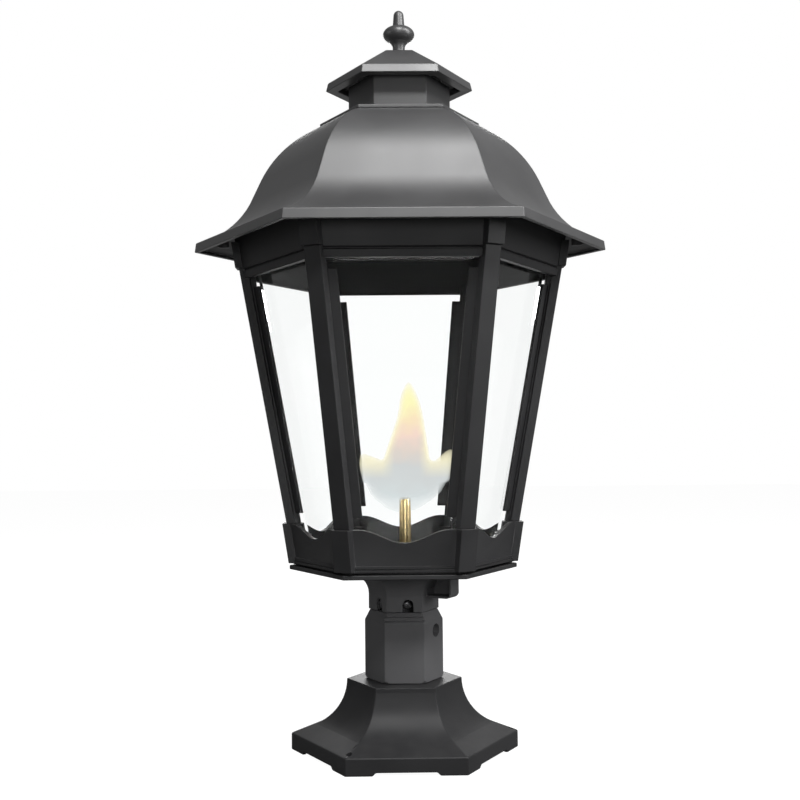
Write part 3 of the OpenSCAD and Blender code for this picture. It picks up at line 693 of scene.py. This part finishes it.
@dataclass(frozen=True)
class Casting:
    """A cast piece of the frame with its edges rounded over, in millimetres and degrees."""

    node: str
    body: Body
    edge: float
    crease: float
    segments: int = 2
    shortest: float = 1.6
    seam: float = 0.006
    sliver: float = 0.004
    flat: float = 0.8

    def marked_mesh(self) -> WorkMesh:
        """Copy of the node, free of seams and slivers, with its creases marked for the rounding.

        Returns:
            The work mesh.
        """
        work = bmesh.new()
        work.from_mesh(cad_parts[self.node].data)
        bmesh.ops.remove_doubles(work, verts=work.verts, dist=self.seam * MM)
        bmesh.ops.dissolve_degenerate(work, edges=work.edges, dist=self.sliver * MM)
        flat, crease = math.radians(self.flat), math.radians(self.crease)
        bmesh.ops.dissolve_limit(work, angle_limit=flat, verts=work.verts, edges=work.edges)
        rounded = work.edges.layers.float.new("bevel_weight_edge")
        for edge in work.edges:
            if edge.calc_length() > self.shortest * MM and edge.calc_face_angle(0.0) > crease:
                edge[rounded] = 1.0
        return work

    def dress(self, material: Material, slot: str = "black_coat") -> bpy.types.Object:
        """Copy the node, round its edges and let the copy stand for it.

        Args:
            material: Coat that the casting wears.
            slot: Material slot of the record.

        Returns:
            The dressed piece.
        """
        name = self.node + "_cast"
        helper = loose_object(self.node + "_work", mesh_of(name, self.marked_mesh()))
        smooth(helper.data, self.crease)
        rounding = helper.modifiers.new("rounding", "BEVEL")
        rounding.width = self.edge * MM
        rounding.segments = self.segments
        rounding.limit_method = "WEIGHT"
        rounding.use_clamp_overlap = False
        rounding.harden_normals = True
        rounding.miter_outer = "MITER_ARC"
        return add_piece(name, baked(helper), self.body, slot, material, (self.node,))


def dress_node(node: str, material: Material) -> None:
    """Give a node of the frame a better material on its own mesh.

    Args:
        node: Node of the frame.
        material: Material for every slot.
    """
    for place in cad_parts[node].material_slots:
        place.material = material
    log.info("%s keeps its own shape", node)


# Fasteners placed by Geometry Nodes


def build_seat_tree() -> Tree:
    """Geometry Nodes tree that seats one part on every point, turned to that point's facing.

    Returns:
        The tree, with inputs Part, Finish, Spin Axis, Spin and Seed.
    """
    tree = bpy.data.node_groups.new("seat_parts", "GeometryNodeTree")
    for label, kind in (("Geometry", "Geometry"), ("Part", "Object"), ("Finish", "Material"),
                        ("Spin Axis", "Vector"), ("Spin", "Float"), ("Seed", "Int")):
        tree.interface.new_socket(label, in_out="INPUT", socket_type="NodeSocket" + kind)
    tree.interface.new_socket("Geometry", in_out="OUTPUT", socket_type="NodeSocketGeometry")
    add, link = tree.nodes.new, tree.links.new
    given, result = add("NodeGroupInput"), add("NodeGroupOutput")
    facing = add("GeometryNodeInputNamedAttribute")
    facing.data_type = "FLOAT_VECTOR"
    facing.inputs["Name"].default_value = "facing"
    turn = add("FunctionNodeAlignRotationToVector")
    turn.axis, turn.pivot_axis = "X", "Z"
    link(facing.outputs["Attribute"], turn.inputs["Vector"])
    chance = add("FunctionNodeRandomValue")
    chance.data_type = "FLOAT"
    link(given.outputs["Spin"], chance.inputs[3])
    link(given.outputs["Seed"], chance.inputs["Seed"])
    scaled = add("ShaderNodeVectorMath")
    scaled.operation = "SCALE"
    link(given.outputs["Spin Axis"], scaled.inputs[0])
    link(chance.outputs[1], scaled.inputs["Scale"])
    spin = add("FunctionNodeEulerToRotation")
    link(scaled.outputs["Vector"], spin.inputs[0])
    both = add("FunctionNodeRotateRotation")
    both.rotation_space = "LOCAL"
    link(turn.outputs[0], both.inputs[0])
    link(spin.outputs[0], both.inputs[1])
    part = add("GeometryNodeObjectInfo")
    part.inputs["As Instance"].default_value = True
    link(given.outputs["Part"], part.inputs["Object"])
    seats = add("GeometryNodeInstanceOnPoints")
    link(given.outputs["Geometry"], seats.inputs["Points"])
    link(part.outputs["Geometry"], seats.inputs["Instance"])
    link(both.outputs[0], seats.inputs["Rotation"])
    real, finish = add("GeometryNodeRealizeInstances"), add("GeometryNodeSetMaterial")
    link(seats.outputs[0], real.inputs[0])
    link(real.outputs[0], finish.inputs["Geometry"])
    link(given.outputs["Finish"], finish.inputs["Material"])
    link(finish.outputs[0], result.inputs[0])
    return tree


SEAT_TREE = build_seat_tree()


@dataclass(frozen=True)
class SeatedParts:
    """One small part that is repeated on seats of the lantern."""

    name: str
    node: str
    slot: str
    seats: tuple[tuple[Vector, Vector], ...]
    spin_axis: Place = (0.0, 0.0, 1.0)
    spin: float = 0.0
    seed: int = 7

    def place(self, part: Mesh, material: Material) -> bpy.types.Object:
        """Seat the part on every point and let the result stand for the node.

        Args:
            part: Mesh of one part, with +X facing outwards.
            material: Material for all of them.

        Returns:
            The finished piece.
        """
        pattern = loose_object(self.name + "_pattern", part)
        points = bpy.data.meshes.new(self.name + "_seats")
        points.from_pydata([tuple(at) for at, _ in self.seats], [], [])
        facing = points.attributes.new("facing", "FLOAT_VECTOR", "POINT")
        for i, (_, way) in enumerate(self.seats):
            facing.data[i].vector = way
        host = loose_object(self.name + "_host", points)
        seating = host.modifiers.new("seating", "NODES")
        seating.node_group = SEAT_TREE
        values = {"Part": pattern, "Finish": material, "Spin Axis": self.spin_axis, "Spin": self.spin,
                  "Seed": self.seed}
        for item in SEAT_TREE.interface.items_tree:
            if item.in_out == "INPUT" and item.name in values:
                seating[item.identifier] = values[item.name]
        mesh = baked(host)
        bpy.data.objects.remove(pattern)
        return add_piece(self.name, mesh, Body.LAMP, self.slot, material, (self.node,))


@dataclass(frozen=True)
class ScrewShape:
    """Round-headed screw with a driven recess, head up along +Z.

    Sizes are in millimetres. Each share is a part of the head's radius or height, and point_r_share is a
    part of the shank's radius.
    """

    head_r: float
    head_h: float
    shank_r: float
    shank_l: float
    drive: Drive
    point_l: float = 0.8
    steps: int = 40
    crease: float = 32.0
    point_r_share: float = 0.7
    seat_r_share: float = 0.96
    rim_h_share: float = 0.08
    crown_h_share: float = 0.45
    slot_r_shares: Span = (2.4, 0.30)
    slot_h_share: float = 0.72
    hex_r_shares: Span = (0.40, 0.42)

    def profile(self) -> Profile:
        """Half outline from the point of the shank to the crown, in metres.

        Returns:
            Radii and heights.
        """
        r, h, s = self.head_r * MM, self.head_h * MM, self.shank_r * MM
        dome, angles = 1 - self.crown_h_share, [math.radians(t) for t in (0, 15, 30, 45, 60, 75, 86)]
        crown = [(r * math.cos(a), h * (self.crown_h_share + dome * math.sin(a))) for a in angles]
        point = [(s * self.point_r_share, -self.shank_l * MM), (s, (self.point_l - self.shank_l) * MM)]
        return [*point, (s, 0.0), (r * self.seat_r_share, 0.0), (r, h * self.rim_h_share), *crown]

    def recess(self) -> WorkMesh:
        """Block that cuts the drive into the head, in metres.

        Returns:
            The work mesh.
        """
        r, h = self.head_r * MM, self.head_h * MM
        work, top = bmesh.new(), Matrix.Translation((0, 0, h))
        if self.drive is Drive.SLOT:
            long, wide = (r * share for share in self.slot_r_shares)
            slot = Matrix.Diagonal((long, wide, h * self.slot_h_share, 1.0))
            bmesh.ops.create_cube(work, size=1.0, matrix=top @ slot)
        else:
            low, high = (r * share for share in self.hex_r_shares)
            bmesh.ops.create_cone(work, cap_ends=True, segments=6, radius1=low, radius2=high, depth=h,
                                  matrix=top)
        return work

    def mesh(self, name: str, along_x: bool) -> Mesh:
        """Build the screw.

        Args:
            name: Name of the mesh.
            along_x: Whether the head looks along +X instead of +Z.

        Returns:
            The mesh in metres.
        """
        solid = loose_object(name + "_head", mesh_of(name, lathe(self.profile(), self.steps)))
        cutter = loose_object(name + "_cutter", mesh_of(name + "_cutter", self.recess()))
        cut = solid.modifiers.new("recess", "BOOLEAN")
        cut.operation, cut.solver, cut.object = "DIFFERENCE", "EXACT", cutter
        mesh = baked(solid)
        bpy.data.objects.remove(cutter)
        if along_x:
            mesh.transform(Matrix.Rotation(math.radians(90), 4, "Y"))
        smooth(mesh, self.crease)
        return mesh


def polar(radius: float, angle: float, height: float) -> Vector:
    """Point at a radius, an angle in degrees and a height, in millimetres, as metres."""
    a = math.radians(angle)
    return Vector((radius * math.cos(a), radius * math.sin(a), height)) * MM


def heading(angle: float) -> Vector:
    """Unit vector in the ground plane at an angle in degrees."""
    return Vector((math.cos(math.radians(angle)), math.sin(math.radians(angle)), 0.0))


# Sub-assemblies


@dataclass
class PierMount:
    """Pier base, tube, collar and fitter, with the screws that clamp the head."""

    clamp_radius: float = 25.7
    clamp_height: float = 144.3
    clamp_angles: tuple[float, ...] = (-143, -83, 37, 97)
    screw: ScrewShape = ScrewShape(4.4, 3.2, 2.1, 5.0, Drive.SLOT)

    def build(self, base_coat: Material, coat: Material, tube: Material, steel: Material) -> None:
        """Dress the castings and seat the screws.

        Args:
            base_coat: Black coat of the base, darkened as painted shade.
            coat: Black coat of the collar and fitter, lightened as painted light.
            tube: Blackened steel of the tube, darkened as painted shade.
            steel: Blackened steel of the clamp screws.
        """
        Casting("pier_base", Body.LAMP, edge=1.1, crease=12.0, segments=3).dress(base_coat)
        Casting("hex_collar", Body.LAMP, edge=0.8, crease=20.0).dress(coat)
        Casting("post_fitter", Body.LAMP, edge=0.7, crease=20.0).dress(coat)
        dress_node("stub_tube", tube)
        seats = tuple((polar(self.clamp_radius, a, self.clamp_height), heading(a)) for a in self.clamp_angles)
        screws = SeatedParts("clamp_screws_slotted", "clamp_screws", "dark_steel", seats,
                             spin_axis=(1.0, 0.0, 0.0), spin=3.0, seed=11)
        screws.place(self.screw.mesh("clamp_screw", along_x=True), steel)


@dataclass
class LanternFloor:
    """Floor plate, flange screws and the base ring with its waved panels."""

    screw_radius: float = 36.08
    screw_height: float = 181.05
    screw: ScrewShape = ScrewShape(4.0, 2.8, 2.0, 9.5, Drive.HEX)

    def build(self, coat: Material, steel: Material) -> None:
        """Dress the floor and seat its screws.

        Args:
            coat: Black coat of the lantern's frame.
            steel: Plated steel.
        """
        Casting("floor_plate", Body.LAMP, edge=0.8, crease=30.0).dress(coat)
        Casting("base_ring", Body.LAMP, edge=0.5, crease=20.0).dress(coat)
        seats = tuple((polar(self.screw_radius, a, self.screw_height), heading(a)) for a in CORNER_ANGLES)
        screws = SeatedParts("flange_screws_socket", "flange_screws", "bare_steel", seats, spin=1.0, seed=5)
        screws.place(self.screw.mesh("flange_screw", along_x=False), steel)


@dataclass
class Cage:
    """Corner posts, panes with their clips, and the top ring; sizes in millimetres."""

    clip_width: float = 9.0
    clip_side: float = 21.7
    strip: float = 1.1
    foot: Span = (-9.9, -3.4)
    foot_z: float = 0.55
    bend_r: float = 2.4
    bend_steps: int = 6
    lip: Profile = ((-0.62, 5.4), (-0.56, 6.9), (-0.85, 7.9), (-1.5, 8.6))
    clip_crease: float = 40.0

    def clip_path(self) -> Profile:
        """Middle line of a clip seen from its side: foot, round bend and lip."""
        toe, heel = self.foot
        r, base = self.bend_r, self.foot_z
        turns = [math.radians(90 * i / self.bend_steps) for i in range(1, self.bend_steps + 1)]
        bend = [(heel + r * math.sin(t), base + r * (1 - math.cos(t))) for t in turns]
        return [(toe, base), (heel, base), *bend, *self.lip]

    def clip_mesh(self) -> Mesh:
        """Bent strip of spring steel whose lip leans on the glass."""
        path, half = self.clip_path(), self.strip / 2
        outer, inner = [], []
        for i, (x, z) in enumerate(path):
            a, b = path[max(i - 1, 0)], path[min(i + 1, len(path) - 1)]
            way = Vector((b[0] - a[0], b[1] - a[1])).normalized()
            outer.append((x + way.y * half, z - way.x * half))
            inner.append((x - way.y * half, z + way.x * half))
        outline = outer + inner[::-1]
        work = bmesh.new()
        rim = [work.verts.new((x * MM, -self.clip_width / 2 * MM, z * MM)) for x, z in outline]
        face = work.faces.new(rim)
        grown = bmesh.ops.extrude_face_region(work, geom=[face])
        moved = [v for v in grown["geom"] if isinstance(v, bmesh.types.BMVert)]
        bmesh.ops.translate(work, verts=moved, vec=(0, self.clip_width * MM, 0))
        bmesh.ops.recalc_face_normals(work, faces=work.faces)
        mesh = mesh_of("pane_clip", work)
        smooth(mesh, self.clip_crease)
        return mesh

    def build(self, coat: Material, glass: Material, spring: Material) -> None:
        """Dress the cage.

        Args:
            coat: Black coat of the lantern's frame.
            glass: Clear glass.
            spring: Spring steel.
        """
        for i in range(1, len(CORNER_ANGLES) + 1):
            Casting(f"corner_post_{i}", Body.LAMP, edge=0.6, crease=30.0).dress(coat)
            dress_node(f"glass_pane_{i}", glass)
        Casting("top_ring", Body.LAMP, edge=0.5, crease=20.0).dress(coat)
        low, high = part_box("glass_clips")
        seats = []
        for a in FACET_ANGLES:
            for side in (-1, 1):
                seat = Vector((high.y, side * self.clip_side * MM, low.z))
                seats.append((Matrix.Rotation(math.radians(a), 4, "Z") @ seat, heading(a)))
        clips = SeatedParts("pane_clips_bent", "glass_clips", "spring_steel", tuple(seats))
        clips.place(self.clip_mesh(), spring)


@dataclass
class Hood:
    """Roof, chimney, vent cap and finial, which tip back together."""

    finial_crease: float = 28.0
    finial_seam: float = 0.004

    def build(self, coat: Material, steel: Material) -> None:
        """Dress the hood.

        Args:
            coat: Black coat of the hood.
            steel: Plated steel.
        """
        Casting("roof", Body.ROOF, edge=0.8, crease=13.0, segments=3).dress(coat)
        Casting("chimney_collar", Body.ROOF, edge=0.7, crease=30.0).dress(coat)
        Casting("vent_cap", Body.ROOF, edge=0.8, crease=14.0).dress(coat)
        dress_node("cap_bridge", steel)
        work = bmesh.new()
        work.from_mesh(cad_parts["finial"].data)
        bmesh.ops.remove_doubles(work, verts=work.verts, dist=self.finial_seam * MM)
        mesh = mesh_of("finial_turned", work)
        smooth(mesh, self.finial_crease)
        add_piece("finial_turned", mesh, Body.ROOF, "black_coat", coat, ("finial",))


@dataclass
class RearHinges:
    """Brackets and pins that the hood tips on."""

    edge: float = 0.4

    def build(self, coat: Material, steel: Material) -> None:
        """Dress the hinges.

        Args:
            coat: Black coat of the lantern's frame.
            steel: Plated steel.
        """
        Casting("hinge_brackets", Body.LAMP, edge=self.edge, crease=30.0).dress(coat)
        dress_node("hinge_pins", steel)


@dataclass
class GasLine:
    """Supply pipe, valve with its key, and the burner."""

    turned_parts: tuple[tuple[str, Body, float], ...] = (
        ("gas_valve", Body.LAMP, 0.4), ("valve_key", Body.KEY, 0.5), ("burner_tube", Body.LAMP, 0.2),
        ("burner_tip", Body.LAMP, 0.25))

    def build(self, brass: Material, steel: Material) -> None:
        """Dress the gas line.

        Args:
            brass: Drawn brass.
            steel: Plated steel.
        """
        for node, body, edge in self.turned_parts:
            Casting(node, body, edge=edge, crease=30.0).dress(brass, "brass")
        dress_node("supply_pipe", steel)


@dataclass
class Flame:
    """Fan of pale flame on the slotted tip, as light only.

    A tongue is a stack of ovals: height, middle in X, half width and half depth, in millimetres.
    """

    tongues: tuple[tuple[tuple[float, float, float, float], ...], ...] = (
        ((230, 0, 1.5, 1), (235, 0, 18, 3), (243, 1.5, 29, 3.5), (250, 2.5, 35, 8), (266, 3.5, 43, 12),
         (274, 3.5, 45, 11), (279, 3, 44, 9), (283, 3, 30, 8), (285, 4, 12, 5)),
        ((262, -28, 12, 8), (272, -30, 12, 8), (280, -31, 12.5, 7), (286, -33, 10, 5), (290, -38, 4, 3),
         (292, -40, 0.8, 0.8)),
        ((262, 36, 11, 8), (272, 38, 11, 8), (280, 40, 10.5, 7), (287, 43.5, 8, 5), (293, 47, 4, 3),
         (296, 49, 0.8, 0.8)),
        ((262, 2, 25, 12), (274, 3, 24.5, 13), (284, 4, 23.5, 13), (294, 5, 21.5, 12.5), (304, 6, 19, 12),
         (314, 7, 16.5, 11), (324, 8, 14, 10), (334, 8.2, 12, 8.5), (344, 7.5, 10, 7), (353, 7, 7, 5),
         (359, 7, 4, 3), (364, 7, 0.8, 0.8)))
    steps: int = 32
    voxel: float = 2.0
    softening: float = 0.5
    softening_rounds: int = 6
    crease: float = 180.0

    def build(self, light: Material) -> None:
        """Join the tongues into one soft form.

        Args:
            light: Flame material.
        """
        work = bmesh.new()
        angles = [2 * math.pi * i / self.steps for i in range(self.steps)]
        for tongue in self.tongues:
            skin(work, [[work.verts.new(((x + w * math.cos(t)) * MM, d * math.sin(t) * MM, z * MM))
                         for t in angles] for z, x, w, d in tongue])
        bmesh.ops.recalc_face_normals(work, faces=work.faces)
        helper = loose_object("flame_work", mesh_of("flame", work))
        joined = helper.modifiers.new("join", "REMESH")
        joined.mode, joined.voxel_size, joined.use_smooth_shade = "VOXEL", self.voxel * MM, True
        soften = helper.modifiers.new("soften", "SMOOTH")
        soften.factor, soften.iterations = self.softening, self.softening_rounds
        mesh = baked(helper)
        smooth(mesh, self.crease)
        add_piece("flame_glow", mesh, Body.LAMP, "", light)


@dataclass(frozen=True)
class SoftLamp:
    """Soft rectangular lamp that looks at a height on the lantern's axis, in metres and watts."""

    name: str
    at: Place
    aim_z: float
    size: Span
    power: float

    def add(self) -> None:
        """Put the lamp in the scene."""
        data = bpy.data.lights.new(self.name, "AREA")
        data.shape, data.energy = "RECTANGLE", self.power
        data.size, data.size_y = self.size
        lamp = loose_object(self.name, data)
        lamp.location = self.at
        beam = Vector((0.0, 0.0, self.aim_z)) - Vector(self.at)
        lamp.rotation_euler = beam.to_track_quat("-Z", "Y").to_euler()


@dataclass
class Studio:
    """White floor and background, soft lamps and the camera, in metres, millimetres of lens and degrees."""

    lens: float = 51.93
    sensor: float = 36.0
    eye: Place = (-0.01654, -1.1502, 0.3057)
    turn: Place = (91.89, 0.508, -0.713)
    floor_half: float = 6.0
    ambient: float = 0.06
    reach: Span = (0.45, 0.95)
    lamps: tuple[SoftLamp, ...] = (
        SoftLamp("key_lamp", at=(0.16, -1.60, 1.92), aim_z=0.45, size=(0.36, 0.36), power=28.0),
        SoftLamp("crown_lamp", at=(0.10, -0.90, 2.20), aim_z=0.50, size=(0.45, 0.50), power=13.5),
        SoftLamp("front_softbox", at=(0.0, -2.1, 0.45), aim_z=0.40, size=(0.6, 0.6), power=7.0),
        SoftLamp("right_softbox", at=(1.55, -0.55, 0.75), aim_z=0.40, size=(0.4, 0.9), power=14.0),
        SoftLamp("left_softbox", at=(-1.60, -0.40, 0.60), aim_z=0.30, size=(0.4, 0.9), power=2.5),
        SoftLamp("right_crown_lamp", at=(1.30, -0.80, 1.75), aim_z=0.55, size=(0.4, 0.4), power=27.0),
        SoftLamp("back_softbox", at=(0.0, 2.1, 1.1), aim_z=0.4, size=(1.0, 0.7), power=20.0))

    def lay_floor(self, paper: Material) -> None:
        """Lay the paper that the lantern stands on.

        Args:
            paper: Material of the floor.
        """
        work = bmesh.new()
        bmesh.ops.create_grid(work, x_segments=2, y_segments=2, size=self.floor_half)
        floor = loose_object("floor", mesh_of("floor", work))
        floor.data.materials.append(paper)

    def light_world(self) -> None:
        """Give the object a dim even light, and the camera a white background."""
        world = bpy.data.worlds.new("studio")
        world.use_nodes = True
        tree = world.node_tree
        ambient = tree.nodes["Background"]
        ambient.inputs["Strength"].default_value = self.ambient
        white, choice = tree.nodes.new("ShaderNodeBackground"), tree.nodes.new("ShaderNodeMixShader")
        for background in (ambient, white):
            background.inputs["Color"].default_value = (1.0, 1.0, 1.0, 1.0)
        way = tree.nodes.new("ShaderNodeTexCoord").outputs["Generated"]
        tree.links.new(direct_rays(tree, way, self.reach), choice.inputs["Fac"])
        tree.links.new(ambient.outputs[0], choice.inputs[1])
        tree.links.new(white.outputs[0], choice.inputs[2])
        tree.links.new(choice.outputs[0], tree.nodes["World Output"].inputs["Surface"])
        bpy.context.scene.world = world

    def set_camera(self) -> None:
        """Put the camera where the photo was taken from."""
        data = bpy.data.cameras.new("camera")
        data.lens, data.sensor_width, data.sensor_fit = self.lens, self.sensor, "AUTO"
        camera = loose_object("camera", data)
        camera.location = self.eye
        camera.rotation_euler = tuple(math.radians(a) for a in self.turn)
        bpy.context.scene.camera = camera
        bpy.context.scene.view_settings.view_transform = "Standard"

    def build(self, paper: Material) -> None:
        """Set up the floor, the world, the lamps and the camera.

        Args:
            paper: Material of the floor.
        """
        self.lay_floor(paper)
        self.light_world()
        for lamp in self.lamps:
            lamp.add()
        self.set_camera()


def main() -> None:
    """Build the lantern and its studio."""
    logging.basicConfig(level=logging.INFO, format="%(message)s")
    Studio().build(StudioWhite().build())
    steel, frame_coat = PLATED_STEEL.build(), FRAME_COAT.build()
    PierMount().build(BASE_COAT.build(), LIGHTENED_MOUNT_COAT.build(), TUBE_STEEL.build(), SCREW_STEEL.build())
    LanternFloor().build(frame_coat, steel)
    Cage().build(frame_coat, WindowGlass().build(), SPRING_STEEL.build())
    Hood().build(HOOD_COAT.build(), steel)
    RearHinges().build(frame_coat, steel)
    GasLine().build(BRASS.build(), steel)
    Flame().build(GasFlame().build())


if __name__ == "__main__":
    main()
